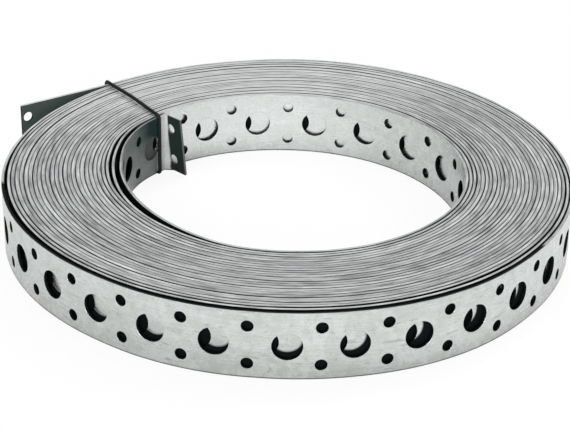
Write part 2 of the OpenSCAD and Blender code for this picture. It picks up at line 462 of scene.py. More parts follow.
    def fullness(self, body: np.ndarray) -> np.ndarray:
        """How much thicker than the bare strip each covered turn looks, with the burrs of its slit edges.

        Args:
            body: Points of the middle line over the wound turns.

        Returns:
            The factor on the thickness at each point.
        """
        radius, lap = np.hypot(body[:, 0], body[:, 1]), round(FULL_TURN / self.step_az)
        phi = self.start_az + self.step_az * np.arange(len(body))
        apart = radius[lap:] - radius[:-lap]
        free = np.full(lap, np.inf)
        room = np.minimum(np.append(apart, free), np.append(free, apart))
        gap = self.seam + sum(self.waves(phi, self.seam_spread, step, self.seed + 2 + i)
                              for i, step in enumerate(self.seam_steps))
        full = np.clip((room - np.maximum(gap, self.seam_least)) / self.thickness, 1.0, self.fullest)
        turn = (phi - self.zero_az) / FULL_TURN
        first, last = self.packed
        packed = np.clip(np.minimum(turn - first, last - turn) / self.packed_ease, 0, 1)
        return 1.0 + (full - 1.0) * packed


# ------------------------------------------------------------------------------------- the flat unit cells


class Weight(Enum):
    """How finely a cell is divided: for turns that show, or for turns that lie covered."""

    FINE = "fine"
    COVERED = "covered"


@dataclass(frozen=True)
class CellPlan:
    """Division of the unit cells.

    Attributes:
        levels: Heights of the faces' edges in the upper half of the strap, from its middle up.
        large_steps: Divisions along the edge of a cell with one large hole.
        pair_steps: Divisions along the edge of a cell with a pair of small holes.
        hole_bevel: Size of the bevel round each hole, or 0 for none.
    """

    levels: tuple[float, ...]
    large_steps: int
    pair_steps: int
    hole_bevel: float


PLANS: dict[Weight, CellPlan] = {
    Weight.FINE: CellPlan((0, 1.6, 3.2, 4.75, 6.35, 8.5), 6, 3, 0.05),
    Weight.COVERED: CellPlan((0, 3.2, 6.35, 8.5), 4, 2, 0.0),
}


@dataclass
class Perforation:
    """The repeating pattern: one large hole, then a pair of small holes across the strap.

    Attributes:
        half_width: Half of the strap's width.
        thickness: The strip's thickness.
        large_radius: Radius of the large hole, on the middle line.
        small_radius: Radius of each small hole.
        pair_offset: Distance of each small hole from the middle line.
        large_cell: Length of the cell with the large hole.
        pair_cell: Length of the cell with the pair.
        tail_margin: Distance from the last pair to the outer end.
        tab_margin: Distance from the inner end to the first pair.
        edge_round: Size of the bevel on the slit edges.
    """

    half_width: float = 8.5
    thickness: float = 0.75
    large_radius: float = 3.45
    small_radius: float = 1.4
    pair_offset: float = 4.75
    large_cell: float = 9.4
    pair_cell: float = 5.6
    tail_margin: float = 1.9
    tab_margin: float = 3.9
    edge_round: float = 0.12

    @property
    def pitch(self) -> float:
        """Length of one repeat."""
        return self.large_cell + self.pair_cell


class FlatStrap:
    """Collects flat strap cells, x along the strap, y through it towards the bore, z across it."""

    def __init__(self, pattern: Perforation, plan: CellPlan) -> None:
        """Starts an empty stretch of strap.

        Args:
            pattern: The perforation.
            plan: How finely it is divided.
        """
        self.pattern, self.plan = pattern, plan
        self.points: list[Point] = []
        self.faces: list[tuple[int, ...]] = []

    def face(self, *corners: Point) -> None:
        """Adds one face with its own corners.

        Args:
            *corners: The corners, in order.
        """
        start = len(self.points)
        self.points.extend(corners)
        self.faces.append(tuple(range(start, start + len(corners))))

    def side(self, x: float, z: float, layer: int) -> Point:
        """Point of the section's outline.

        Args:
            x: Place along the strap.
            z: Place across it.
            layer: 0 and 3 are the two faces, 1 and 2 the slit edge between them.

        Returns:
            The point.
        """
        p, h = self.pattern, self.pattern.thickness / 2
        y = (-h, -h + p.edge_round, h - p.edge_round, h)[layer]
        if abs(z) > p.half_width - TOUCH and layer in (0, 3):
            z = math.copysign(p.half_width - p.edge_round, z)
        return x, y, z

    def edge_faces(self, x0: float, x1: float, z: float) -> list[list[Point]]:
        """Corners of the slit edge's faces along one segment, walking with the strap's face on the left."""
        return [[self.side(x1, z, layer), self.side(x0, z, layer), self.side(x0, z, layer + 1),
                 self.side(x1, z, layer + 1)] for layer in range(3)]

    @staticmethod
    def outline(x0: float, x1: float, levels: Sequence[float], steps: int) -> list[tuple[float, float]]:
        """Outline of a panel.

        Args:
            x0: Start along the strap.
            x1: End along the strap.
            levels: Levels across the strap, rising.
            steps: Divisions along the top and the bottom.

        Returns:
            Its points, round from the lower corner at x1.
        """
        right = [(x1, z) for z in levels]
        upper = [(x1 + (x0 - x1) * i / steps, levels[-1]) for i in range(1, steps)]
        left = [(x0, z) for z in reversed(levels)]
        lower = [(x0 + (x1 - x0) * i / steps, levels[0]) for i in range(1, steps)]
        return right + upper + left + lower

    def panel(self, x0: float, x1: float, levels: Sequence[float], centre: tuple[float, float], radius: float,
              steps: int, flip: bool = False, rings: int = 1) -> None:
        """Adds a rectangle of strap with one round hole.

        Args:
            x0: Start along the strap.
            x1: End along the strap.
            levels: Levels across the strap, rising.
            centre: The hole's centre.
            radius: The hole's radius.
            steps: Divisions along the top and the bottom.
            flip: Turns the panel half round in its own plane about the strap's middle line.
            rings: Rows of faces between the hole and the outline.
        """
        outline = self.outline(x0, x1, levels, steps)
        n, half, bevel = len(outline), self.pattern.thickness / 2, self.plan.hole_bevel
        first = math.pi / 2 - 2 * math.pi / n * (len(levels) - 1 + steps / 2)
        angles = [first + 2 * math.pi * i / n for i in range(n)]

        def circle(r: float, y: float) -> list[Point]:
            """One ring of points about the hole."""
            return [(centre[0] + r * math.cos(a), y, centre[1] + r * math.sin(a)) for a in angles]

        def between(ring: list[Point], rim: list[Point], part: float) -> list[Point]:
            """A ring part way from the hole to the outline."""
            return [(p[0] + (q[0] - p[0]) * part, p[1] + (q[1] - p[1]) * part, p[2] + (q[2] - p[2]) * part)
                    for p, q in zip(ring, rim)]

        def add(corners: Sequence[Point]) -> None:
            """Adds one face, turned with the panel."""
            self.face(*((x0 + x1 - x, y, -z) if flip else (x, y, z) for x, y, z in corners))

        front_rim, back_rim = ([self.side(x, z, layer) for x, z in outline] for layer in (0, 3))
        front, back = circle(radius + bevel, -half), circle(radius + bevel, half)
        wall = [circle(radius, -half + bevel), circle(radius, half - bevel)] if bevel else []
        loops = [front_rim, *(between(front, front_rim, i / rings) for i in range(rings - 1, 0, -1)), front,
                 *wall, back, *(between(back, back_rim, i / rings) for i in range(1, rings)), back_rim]
        for near, far in zip(loops, loops[1:]):
            for i in range(n):
                j = (i + 1) % n
                add((near[i], near[j], far[j], far[i]))
        for (xa, za), (xb, zb) in zip(outline, outline[1:] + outline[:1]):
            if za == zb and abs(za) > self.pattern.half_width - TOUCH:
                for corners in self.edge_faces(xa, xb, za):
                    add(corners)

    def all_levels(self) -> list[float]:
        """All levels across the strap, rising."""
        half = list(self.plan.levels)
        return [-z for z in reversed(half[1:])] + half

    def large(self, x0: float, x1: float, at: float, steps: int | None = None, rings: int = 1) -> None:
        """Adds a cell with one large hole.

        Args:
            x0: Start along the strap.
            x1: End along the strap.
            at: Place of the hole.
            steps: Divisions along the top and the bottom, if not the plan's own.
            rings: Rows of faces between the hole and the outline.
        """
        self.panel(x0, x1, self.all_levels(), (at, 0.0), self.pattern.large_radius,
                   steps or self.plan.large_steps, rings=rings)

    def pair(self, x0: float, x1: float, at: float) -> None:
        """Adds a cell with a pair of small holes.

        Args:
            x0: Start along the strap.
            x1: End along the strap.
            at: Place of the pair.
        """
        p = self.pattern
        for middle, flip in ((at, False), (x0 + x1 - at, True)):
            self.panel(x0, x1, self.plan.levels, (middle, p.pair_offset), p.small_radius,
                       self.plan.pair_steps, flip)

    def plain(self, x0: float, x1: float) -> None:
        """Adds a short length without a hole.

        Args:
            x0: Start along the strap.
            x1: End along the strap.
        """
        levels = self.all_levels()
        for za, zb in zip(levels, levels[1:]):
            self.face(self.side(x1, za, 0), self.side(x1, zb, 0), self.side(x0, zb, 0), self.side(x0, za, 0))
            self.face(self.side(x0, za, 3), self.side(x0, zb, 3), self.side(x1, zb, 3), self.side(x1, za, 3))
        for corners in self.edge_faces(x1, x0, levels[-1]) + self.edge_faces(x0, x1, levels[0]):
            self.face(*corners)

    def cap(self, x: float, outward: int) -> None:
        """Closes the strap across its section.

        Args:
            x: Place along the strap.
            outward: 1 where the strap ends towards rising x, -1 where it starts.
        """
        levels = self.all_levels()
        rows = [(self.side(x, za, 0), self.side(x, zb, 0), self.side(x, zb, 3), self.side(x, za, 3))
                for za, zb in zip(levels, levels[1:])]
        top, low = levels[-1], levels[0]
        rows.append(tuple(self.side(x, top, i) for i in range(4)))
        rows.append(tuple(self.side(x, low, i) for i in (3, 2, 1, 0)))
        for row in rows:
            self.face(*(row[::-1] if outward > 0 else row))

    def mesh(self, name: str) -> bpy.types.Mesh:
        """Makes the mesh, in metres.

        Args:
            name: Its name.

        Returns:
            The mesh.
        """
        mesh = bpy.data.meshes.new(name)
        mesh.from_pydata([tuple(c * MM for c in p) for p in self.points], [], self.faces)
        mesh.update()
        return mesh


def placed(name: str, data: Any) -> bpy.types.Object:
    """Makes an object and links it to the scene.

    Args:
        name: Its name.
        data: Its mesh, curve, lamp or camera.

    Returns:
        The object.
    """
    thing = bpy.data.objects.new(name, data)
    bpy.context.scene.collection.objects.link(thing)
    return thing


# ------------------------------------------------------------------------------------------ Geometry Nodes


def strap_run_tree() -> tuple[bpy.types.NodeTree, dict[str, str]]:
    """Builds the tree that lays cells end to end and bends them along the middle line.

    Returns:
        The tree and its inputs' identifiers by name.
    """
    tree = bpy.data.node_groups.new("strap_run", "GeometryNodeTree")
    lengths = ("Large From", "Pair From", "Repeat", "Start", "Stretch", "Long Step At", "Long Step",
               "Early Step At", "Early Step", "Slack From", "Slack To", "Slack", "Second Slack From",
               "Second Slack To", "Second Slack")
    ids = add_sockets(tree, "INPUT", {
        "Geometry": "NodeSocketGeometry", "Middle Line": "NodeSocketObject", "Large Cell": "NodeSocketObject",
        "Pair Cell": "NodeSocketObject", "Large Count": "NodeSocketInt", "Pair Count": "NodeSocketInt",
        "Material": "NodeSocketMaterial", **{name: "NodeSocketFloat" for name in lengths}})
    add_sockets(tree, "OUTPUT", {"Geometry": "NodeSocketGeometry"})
    g = Graph(tree)
    given = g.add("NodeGroupInput").outputs

    def row(cell: str, start: str, count: str) -> Socket:
        """Lays one kind of cell at each repeat.

        Args:
            cell: Name of the input that holds the cell.
            start: Name of the input with the first one's place.
            count: Name of the input with their number.

        Returns:
            The instances.
        """
        first = g.add("ShaderNodeCombineXYZ", {0: given[start]})
        step = g.add("ShaderNodeCombineXYZ", {0: given["Repeat"]})
        line = g.add("GeometryNodeMeshLine", {"Count": given[count], "Start Location": first, "Offset": step},
                     mode="OFFSET")
        at = g.add("ShaderNodeSeparateXYZ", {0: g.add("GeometryNodeInputPosition")}).outputs[0]
        past = [g.math("MULTIPLY", g.math("GREATER_THAN", at, given[name + " At"]), given[name])
                for name in ("Long Step", "Early Step")]
        shift = g.add("ShaderNodeCombineXYZ", {0: g.math("ADD", *past)})
        moved = g.add("GeometryNodeSetPosition", {"Geometry": line, "Offset": shift})
        shape = g.add("GeometryNodeObjectInfo", {"Object": given[cell]}, transform_space="ORIGINAL")
        return g.add("GeometryNodeInstanceOnPoints", {"Points": moved, "Instance": shape.outputs["Geometry"]}
                     ).outputs[0]

    # The flat piece: both rows of cells and what the piece has only once, welded.
    join = g.add("GeometryNodeJoinGeometry")
    for part in (given["Geometry"], row("Large Cell", "Large From", "Large Count"),
                 row("Pair Cell", "Pair From", "Pair Count")):
        tree.links.new(part, join.inputs[0])
    real = g.add("GeometryNodeRealizeInstances", {0: join})
    weld = g.add("GeometryNodeMergeByDistance", {"Geometry": real, "Distance": WELD * MM})
    position = g.add("GeometryNodeInputPosition")
    flat = g.add("GeometryNodeStoreNamedAttribute",
                 {"Geometry": weld, "Name": "flat", "Value": g.scaled(position, 1.0 / MM)},
                 data_type="FLOAT_VECTOR", domain="POINT")
    # Its bend: each point goes to its length on the middle line, and stands off it by its depth and height.
    place = g.add("ShaderNodeSeparateXYZ", {0: position}).outputs
    slack = g.math("ADD", *(g.ramp(place[0], given[name + " From"], given[name + " To"], 0.0, given[name])
                            for name in ("Slack", "Second Slack")))
    length = g.math("ADD", given["Start"], g.math("MULTIPLY_ADD", place[0], given["Stretch"], slack))
    line = g.add("GeometryNodeObjectInfo", {"Object": given["Middle Line"]}, transform_space="ORIGINAL")

    def along_line(attribute: str) -> Sockets:
        """Reads an attribute of the middle line at each point's length.

        Args:
            attribute: The attribute's name.

        Returns:
            The outputs of the node that reads it.
        """
        value = g.add("GeometryNodeInputNamedAttribute", {"Name": attribute}, data_type="FLOAT")
        return g.add("GeometryNodeSampleCurve", {"Curves": line.outputs["Geometry"], "Value": value,
                                                 "Length": length}, mode="LENGTH", data_type="FLOAT").outputs

    at = along_line("tilt")
    inward = g.vector("NORMALIZE", g.vector("CROSS_PRODUCT", (0.0, 0.0, 1.0), at["Tangent"]))
    through = g.math("MULTIPLY", place[1], along_line("radius")["Value"])
    off = g.math("MULTIPLY_ADD", at["Value"], place[2], through)
    spot = g.vector("ADD", at["Position"], g.scaled(inward, off))
    spot = g.vector("ADD", spot, g.add("ShaderNodeCombineXYZ", {2: place[2]}))
    bent = g.add("GeometryNodeSetPosition", {"Geometry": flat, "Position": spot})
    again = g.add("GeometryNodeRealizeInstances", {0: bent})
    dressed = g.add("GeometryNodeSetMaterial", {"Geometry": again, "Material": given["Material"]})
    g.add("NodeGroupOutput", {0: dressed})
    return tree, ids


def wire_tree() -> tuple[bpy.types.NodeTree, dict[str, str]]:
    """Builds the tree that sweeps a round wire along a line.

    Returns:
        The tree and its inputs' identifiers by name.
    """
    tree = bpy.data.node_groups.new("round_wire", "GeometryNodeTree")
    ids = add_sockets(tree, "INPUT", {"Geometry": "NodeSocketGeometry", "Radius": "NodeSocketFloat",
                                      "Sides": "NodeSocketInt", "Material": "NodeSocketMaterial"})
    add_sockets(tree, "OUTPUT", {"Geometry": "NodeSocketGeometry"})
    g = Graph(tree)
    given = g.add("NodeGroupInput").outputs
    run = g.add("GeometryNodeMeshToCurve", {0: given["Geometry"]})
    index = g.add("GeometryNodeSplineParameter")
    kept = g.add("GeometryNodeStoreNamedAttribute",
                 {"Geometry": run, "Name": "along", "Value": g.math("DIVIDE", index.outputs["Length"], MM)},
                 data_type="FLOAT", domain="POINT")
    ring = g.add("GeometryNodeCurvePrimitiveCircle",
                 {"Resolution": given["Sides"], "Radius": given["Radius"]}).outputs[0]
    tube = g.add("GeometryNodeCurveToMesh", {"Curve": kept, "Profile Curve": ring, "Fill Caps": True})
    real = g.add("GeometryNodeRealizeInstances", {0: tube})
    smooth = g.add("GeometryNodeSetShadeSmooth", {"Geometry": real})
    dressed = g.add("GeometryNodeSetMaterial", {"Geometry": smooth, "Material": given["Material"]})
    g.add("NodeGroupOutput", {0: dressed})
    return tree, ids


def bake_nodes(name: str, base: bpy.types.Mesh, tree: bpy.types.NodeTree,
               values: Mapping[str, Any]) -> bpy.types.Object:
    """Runs a Geometry Nodes tree once and keeps its result as a plain mesh.

    Args:
        name: The piece's name.
        base: The mesh that goes into the tree.
        tree: The Geometry Nodes tree.
        values: Values by input identifier.

    Returns:
        The finished piece.
    """
    work = placed(name + "_work", base)
    modifier = work.modifiers.new("nodes", "NODES")
    modifier.node_group = tree
    for identifier, value in values.items():
        modifier[identifier] = value
    graph = bpy.context.evaluated_depsgraph_get()
    mesh = bpy.data.meshes.new_from_object(work.evaluated_get(graph), preserve_all_data_layers=True,
                                           depsgraph=graph)
    mesh.name = name
    work.modifiers.remove(modifier)
    bpy.data.objects.remove(work)
    return placed(name, mesh)


# ------------------------------------------------------------------------------------------------ finishes


def grain_group() -> bpy.types.NodeTree:
    """Builds the shared effect of fine drawn lines and blotches on metal.

    Returns:
        The shader node group.
    """
    tree = bpy.data.node_groups.new("metal_grain", "ShaderNodeTree")
    add_sockets(tree, "INPUT", {"Place": "NodeSocketVector", "Line Length": "NodeSocketFloat",
                                "Line Width": "NodeSocketFloat", "Blotch Size": "NodeSocketFloat"})
    add_sockets(tree, "OUTPUT", {"Lines": "NodeSocketFloat", "Blotches": "NodeSocketFloat",
                                 "Specks": "NodeSocketFloat"})
    g = Graph(tree)
    given = g.add("NodeGroupInput").outputs
    part = g.add("ShaderNodeSeparateXYZ", {0: given["Place"]}).outputs
    stretched = g.add("ShaderNodeCombineXYZ", {0: g.math("DIVIDE", part[0], given["Line Length"]),
                                               1: g.math("DIVIDE", part[1], given["Line Width"]),
                                               2: g.math("DIVIDE", part[2], given["Line Width"])})
    lines = g.add("ShaderNodeTexNoise", {"Vector": stretched, "Scale": 1.0, "Detail": 3.0, "Roughness": 0.6})
    spread = g.vector("DIVIDE", given["Place"], g.add("ShaderNodeCombineXYZ", {
        0: given["Blotch Size"], 1: given["Blotch Size"], 2: given["Blotch Size"]}))
    blotch = g.add("ShaderNodeTexNoise", {"Vector": spread, "Scale": 1.0, "Detail": 4.0, "Roughness": 0.65})
    speck = g.add("ShaderNodeTexNoise", {"Vector": spread, "Scale": 6.0, "Detail": 2.0, "Roughness": 0.5})
    g.add("NodeGroupOutput", {"Lines": g.ramp(lines.outputs["Fac"], 0.3, 0.7),
                              "Blotches": g.ramp(blotch.outputs["Fac"], 0.3, 0.7),
                              "Specks": g.ramp(speck.outputs["Fac"], 0.62, 0.75)})
    return tree


@dataclass(frozen=True)
class ZincFinish:
    """Hot-dip galvanised strip: mottled zinc faces and streaked slit edges, with painted light and shade.

    The pattern follows the flat strap through the attribute "flat": millimetres along, through and across it.
    The attribute "shading" tells how far each face is painted black as covered or shaded, where it lies
    round the bore for the painted dark green shade, and, for the second layer, how far it is from the middle
    of the hole above, near which a lit part is painted.
    """

    light: Colour = (0.68, 0.7, 0.69, 1.0)
    dull: Colour = (0.54, 0.57, 0.55, 1.0)
    stain: Colour = (0.12, 0.14, 0.14, 1.0)
    rubbed: Colour = (0.3, 0.31, 0.3, 1.0)
    brown: Colour = (0.32, 0.27, 0.22, 1.0)
    edge_light: Colour = (0.67, 0.685, 0.685, 1.0)
    edge_dark: Colour = (0.14, 0.145, 0.145, 1.0)
    # Painted light and shade: paler on the far side of the roll; near-black in the hole walls, along the foot
    # and where shadowed; dark green round the tab.
    painted_light: Colour = (0.88, 0.9, 0.89, 1.0)
    painted_shade_black: Colour = (0.003, 0.004, 0.004, 1.0)
    painted_shadow: Colour = (0.002, 0.004, 0.004, 1.0)
    shaded: Colour = (0.014, 0.034, 0.029, 1.0)
    fine_grain: Grain = (9.0, 0.22, 2.4)
    wide_grain: Grain = (60.0, 1.6, 14.0)
    rub_grain: Grain = (7.0, 0.9, 9.0)
    edge_grain: Grain = (5.5, 0.42, 30.0)
    spangle_scale: float = 0.35
    mottle: tuple[float, ...] = (0.3, 0.35, 0.2, 0.15)
    mottle_range: Range = (0.3, 0.72)
    stained: float = 0.35
    rub_ramp: Ramp = (0.86, 1.0, 0.0, 0.45)
    browned: float = 0.3
    streaks: tuple[float, ...] = (0.5, 0.28, 0.22)
    streak_range: Range = (0.12, 0.88)
    # Where the painted light on the far side of the roll begins, and how strong it is on faces and on edges.
    painted_light_side: tuple[float, float, float] = (0.423, 0.906, 0.0)
    painted_light_reach: Range = (28.0, 48.0)
    painted_light_on_faces: float = 0.5
    painted_light_on_edges: float = 0.25
    edge_at: Range = (8.36, 8.42)
    # Painted contact shadow along the foot of the faces, and the depth, height and start of the hole walls
    # painted near-black.
    painted_contact_shadow: Ramp = (-8.0, -8.3, 0.0, 0.85)
    face_depth: float = 0.37
    hole_depth: float = 0.36
    hole_height: float = 8.3
    holes_from: Range = (16.5, 17.0)
    # Painted shade on the tab and beside it inside the bore, and the duller bend by the tab.
    tab_shade_ramp: Ramp = (4.9, 5.4, 0.96, 0.0)
    tab_painted_shade: float = 0.62
    beside_from: Range = (9.3, 10.0)
    beside_near: Ramp = (10.0, 22.0, 0.3, 0.0)
    beside_far: Ramp = (22.0, 80.0, 0.7, 0.0)
    beside_rise: Ramp = (-8.5, 5.0, 0.42, 1.1)
    bend_from: Range = (5.0, 5.5)
    bend_to: Range = (10.4, 9.6)
    bend_dulled: float = 0.75
    # Painted lit part of the second layer under each hole; round it the second layer is painted black as
    # shadow.
    lit_rise: float = 1.3
    lit_edge: Range = (3.2, 3.7)
    edge_dulled: float = 0.8
    smoothest: float = 0.17
    roughened: float = 0.2
    dark_roughness: float = 0.75
    specular: float = 0.1
    bump: tuple[float, float] = (0.25, 0.05 * MM)

    def faces(self, g: Graph, grain: bpy.types.NodeTree, flat: Socket,
              wide: Sockets) -> tuple[Socket, Socket]:
        """Adds the mottled zinc of the strap's faces.

        Args:
            g: The material's graph.
            grain: The shared grain group.
            flat: Place on the flat strap.
            wide: Outputs of the grain group in its widest size.

        Returns:
            The colour, and the mottling that it follows.
        """
        fine = g.group(grain, flat, self.fine_grain)
        rub = g.group(grain, flat, self.rub_grain)
        spangle = g.add("ShaderNodeTexVoronoi", {"Vector": flat, "Scale": self.spangle_scale,
                                                 "Randomness": 1.0})
        crystal = g.add("ShaderNodeSeparateColor", {0: spangle.outputs["Color"]}).outputs[0]
        tone = g.weighed((fine["Lines"], fine["Blotches"], wide["Blotches"], crystal), self.mottle)
        face = g.mix(g.ramp(tone, *self.mottle_range), self.dull, self.light)
        face = g.mix(g.times(fine["Specks"], self.stained), face, self.stain)
        face = g.mix(g.ramp(rub["Lines"], *self.rub_ramp), face, self.rubbed)
        return g.mix(g.times(rub["Specks"], self.browned), face, self.brown), tone

    def slit_edges(self, g: Graph, grain: bpy.types.NodeTree, flat: Socket, wide: Sockets) -> Socket:
        """Adds the streaks of the slit edges.

        Args:
            g: The material's graph.
            grain: The shared grain group.
            flat: Place on the flat strap.
            wide: Outputs of the grain group in its widest size.

        Returns:
            The colour.
        """
        streak = g.group(grain, flat, self.edge_grain)
        tone = g.weighed((streak["Lines"], wide["Lines"], streak["Blotches"]), self.streaks)
        return g.mix(g.ramp(tone, *self.streak_range), self.edge_dark, self.edge_light)

    def bore_shade(self, g: Graph, along: Socket, across: Socket,
                   bore: Socket) -> tuple[Socket, Socket, Socket]:
        """Adds the painted shade round the tab, inside the bore, and on the inner face of the loose outer
        end.

        Args:
            g: The material's graph.
            along: Place along the strap.
            across: Place across it.
            bore: The shading attribute's second number.

        Returns:
            How far the painted dark green shade covers a place, how far the tab is painted black as shade
            there, and how far the bend by the tab has lost its metal gloss.
        """
        inside = g.math("MINIMUM", bore, 1.0)
        tab = g.ramp(along, *self.tab_shade_ramp)
        beside = g.times(g.math("ADD", g.ramp(along, *self.beside_near), g.ramp(along, *self.beside_far)),
                         g.ramp(along, *self.beside_from), g.ramp(across, *self.beside_rise))
        shade = g.most(g.times(inside, g.most(tab, beside)), g.math("SUBTRACT", bore, 1.0))
        bend = g.times(g.ramp(along, *self.bend_from), g.ramp(along, *self.bend_to), self.bend_dulled)
        return shade, g.times(tab, self.tab_painted_shade, inside), g.times(bend, inside)

    def second_layer_shadow(self, g: Graph, across: Socket, under: Socket) -> Socket:
        """Adds the painted shadow on the second layer, round the painted lit part under each hole above.

        Args:
            g: The material's graph.
            across: Place across the strap.
            under: The shading attribute's third number.

        Returns:
            The mask.
        """
        aside = g.math("SUBTRACT", under, UNDER_MARK)
        above = g.math("SUBTRACT", across, self.lit_rise)
        away = g.math("SQRT", g.math("ADD", g.times(aside, aside), g.times(above, above)))
        return g.times(g.math("GREATER_THAN", under, UNDER_MARK / 2), g.ramp(away, *self.lit_edge))

    def material(self, grain: bpy.types.NodeTree) -> bpy.types.Material:
        """Builds the material.

        Args:
            grain: The shared grain group.

        Returns:
            The material.
        """
        made = bpy.data.materials.new("galvanised_zinc")
        g = cleared(made)
        flat = g.add("ShaderNodeAttribute", attribute_name="flat").outputs["Vector"]
        along, through, across = g.add("ShaderNodeSeparateXYZ", {0: flat}).outputs
        shading = g.add("ShaderNodeAttribute", attribute_name="shading").outputs["Vector"]
        covered, bore, under = g.add("ShaderNodeSeparateXYZ", {0: shading}).outputs
        depth, height = g.math("ABSOLUTE", through), g.math("ABSOLUTE", across)
        wide = g.group(grain, flat, self.wide_grain)

        face, tone = self.faces(g, grain, flat, wide)
        edge = self.slit_edges(g, grain, flat, wide)
        # Painted light: the far side of the roll is painted paler, on the faces and on the slit edges.
        spot = g.scaled(g.add("ShaderNodeTexCoord").outputs["Object"], 1.0 / MM)
        far = g.ramp(g.vector("DOT_PRODUCT", spot, self.painted_light_side), *self.painted_light_reach)
        face = g.mix(g.times(far, self.painted_light_on_faces), face, self.painted_light)
        edge = g.mix(g.times(far, self.painted_light_on_edges), edge, self.painted_light)
        on_edge = g.ramp(height, *self.edge_at)
        colour = g.mix(on_edge, face, edge)

        # Painted contact shadow: a near-black line along the foot of the outer and inner faces.
        painted_contact_shadow = g.times(g.ramp(across, *self.painted_contact_shadow), g.math("GREATER_THAN", depth, self.face_depth))
        colour = g.mix(painted_contact_shadow, colour, self.painted_shade_black)
        # Painted shade: the walls of the holes are painted near-black.
        in_hole = g.times(g.math("LESS_THAN", depth, self.hole_depth),
                          g.math("LESS_THAN", height, self.hole_height), g.ramp(along, *self.holes_from))
        colour = g.mix(in_hole, colour, self.painted_shade_black)
        # Painted dark green shade round the tab, beside the tie and on the loose outer end's inner face.
        shade, tab_painted_shade, bend = self.bore_shade(g, along, across, bore)
        colour = g.mix(shade, colour, self.shaded)
        # Painted shadow: covered faces, the shaded rim, the second layer round its lit parts and the tab go
        # near-black.
        black = g.most(covered, self.second_layer_shadow(g, across, under), tab_painted_shade)
        colour = g.mix(black, colour, self.painted_shadow)

        unlit = g.most(in_hole, black, shade, bend)
        bare = g.math("SUBTRACT", 1.0, g.most(g.times(on_edge, self.edge_dulled), unlit))
        rough = g.math("ADD", g.times(tone, self.roughened), self.smoothest)
        rough = g.most(rough, g.times(g.most(unlit, on_edge), self.dark_roughness))
        strength, distance = self.bump
        bump = g.add("ShaderNodeBump", {"Strength": strength, "Distance": distance, "Height": tone})
        shader = g.add("ShaderNodeBsdfPrincipled", {
            "Base Color": colour, "Metallic": bare, "Roughness": rough, "Specular IOR Level": self.specular,
            "Normal": bump})
        g.add("ShaderNodeOutputMaterial", {0: shader})
        return made


@dataclass(frozen=True)
class WireFinish:
    """Black annealed wire with a dull oxide skin."""

    skin: Colour = (0.002, 0.003, 0.003, 1.0)
    worn: Colour = (0.012, 0.014, 0.014, 1.0)
    grain: Grain = (2.0, 0.3, 1.2)
    wear: float = 0.7
    roughness: Range = (0.38, 0.6)
    specular: float = 0.25
    bump: tuple[float, float] = (0.3, 0.03 * MM)

    def material(self, grain: bpy.types.NodeTree) -> bpy.types.Material:
        """Builds the material.

        Args:
            grain: The shared grain group.

        Returns:
            The material.
        """
        made = bpy.data.materials.new("annealed_wire")
        g = cleared(made)
        place = g.scaled(g.add("ShaderNodeTexCoord").outputs["Object"], 1.0 / MM)
        fine = g.group(grain, place, self.grain)
        colour = g.mix(g.times(fine["Blotches"], self.wear), self.skin, self.worn)
        rough = g.ramp(fine["Lines"], 0.0, 1.0, *self.roughness)
        strength, distance = self.bump
        bump = g.add("ShaderNodeBump", {"Strength": strength, "Distance": distance,
                                        "Height": fine["Blotches"]})
        shader = g.add("ShaderNodeBsdfPrincipled", {
            "Base Color": colour, "Metallic": 0.0, "Roughness": rough, "Specular IOR Level": self.specular,
            "Normal": bump})
        g.add("ShaderNodeOutputMaterial", {0: shader})
        return made


# ------------------------------------------------------------------------------------------ sub-assemblies


@dataclass(frozen=True)
class Step:
    """A longer step in the punching: every cell past its place lies further on by its size."""

    at: float = NEVER
    size: float = 0.0


@dataclass(frozen=True)
class Slack:
    """A stretch over which the cells are spread apart, by its size in all."""

    start: float = 0.0
    end: float = 1.0
    size: float = 0.0


@dataclass(frozen=True)
class Dark:
    """Where shade and light are painted on a piece, in millimetres along the flat piece.

    Attributes:
        bore_to: End of the stretch that shows inside the bore.
        behind: How far the face towards the bore is painted black as covered, at stations in order.
        outside_to: End of the stretch whose outer face is painted black as covered.
        tail_from: Start of the loose outer end, whose inner face is painted dark as shade.
        second_layer: The stretch that shows through the holes of the outermost turn.
        holes_above: Middles of those holes, each with how far its painted lit part is moved along the strap.
        shaded_rim: The stretch of the outermost turn whose upper part is painted black as shadow.
    """

    bore_to: float = -NEVER
    behind: Stations = ((0.0, 1.0), (1.0, 1.0))
    outside_to: float = NEVER
    tail_from: float = NEVER
    second_layer: tuple[float, float] = (NEVER, NEVER)
    holes_above: Stations = ()
    shaded_rim: tuple[float, float] = (NEVER, NEVER)


@dataclass(frozen=True)
class Run:
    """One piece of the strap: its repeated cells, and how it is fitted to the middle line.

    Attributes:
        name: The piece's name.
        weight: How finely its cells are divided.
        larges: Place of the first repeated large cell on the flat piece, and the number of them.
        pairs: The same for the cells with a pair of holes.
        start: Place of the piece's start on the middle line.
        stretch: Factor on the length of the flat piece.
        steps: Longer steps in its punching.
        slacks: Where its cells are spread apart.
        dark: Where shade and light are painted on it.
    """

    name: str
    weight: Weight
    larges: tuple[float, int]
    pairs: tuple[float, int]
    start: float
    stretch: float = 1.0
    steps: tuple[Step, Step] = (Step(), Step())
    slacks: tuple[Slack, Slack] = (Slack(), Slack())
    dark: Dark = Dark()

    def inputs(self) -> dict[str, float]:
        """Gives the values for the inputs of the tree that lays the cells.

        Returns:
            The values by input name, in metres where they are lengths.
        """
        values: dict[str, float] = {"Large Count": self.larges[1], "Pair Count": self.pairs[1],
                                    "Stretch": self.stretch}
        lengths = {"Large From": self.larges[0], "Pair From": self.pairs[0], "Start": self.start}
        for name, step in zip(("Long Step", "Early Step"), self.steps):
            lengths |= {name + " At": step.at, name: step.size}
        for name, slack in zip(("Slack", "Second Slack"), self.slacks):
            lengths |= {name + " From": slack.start, name + " To": slack.end, name: slack.size}
        return values | {name: value * MM for name, value in lengths.items()}


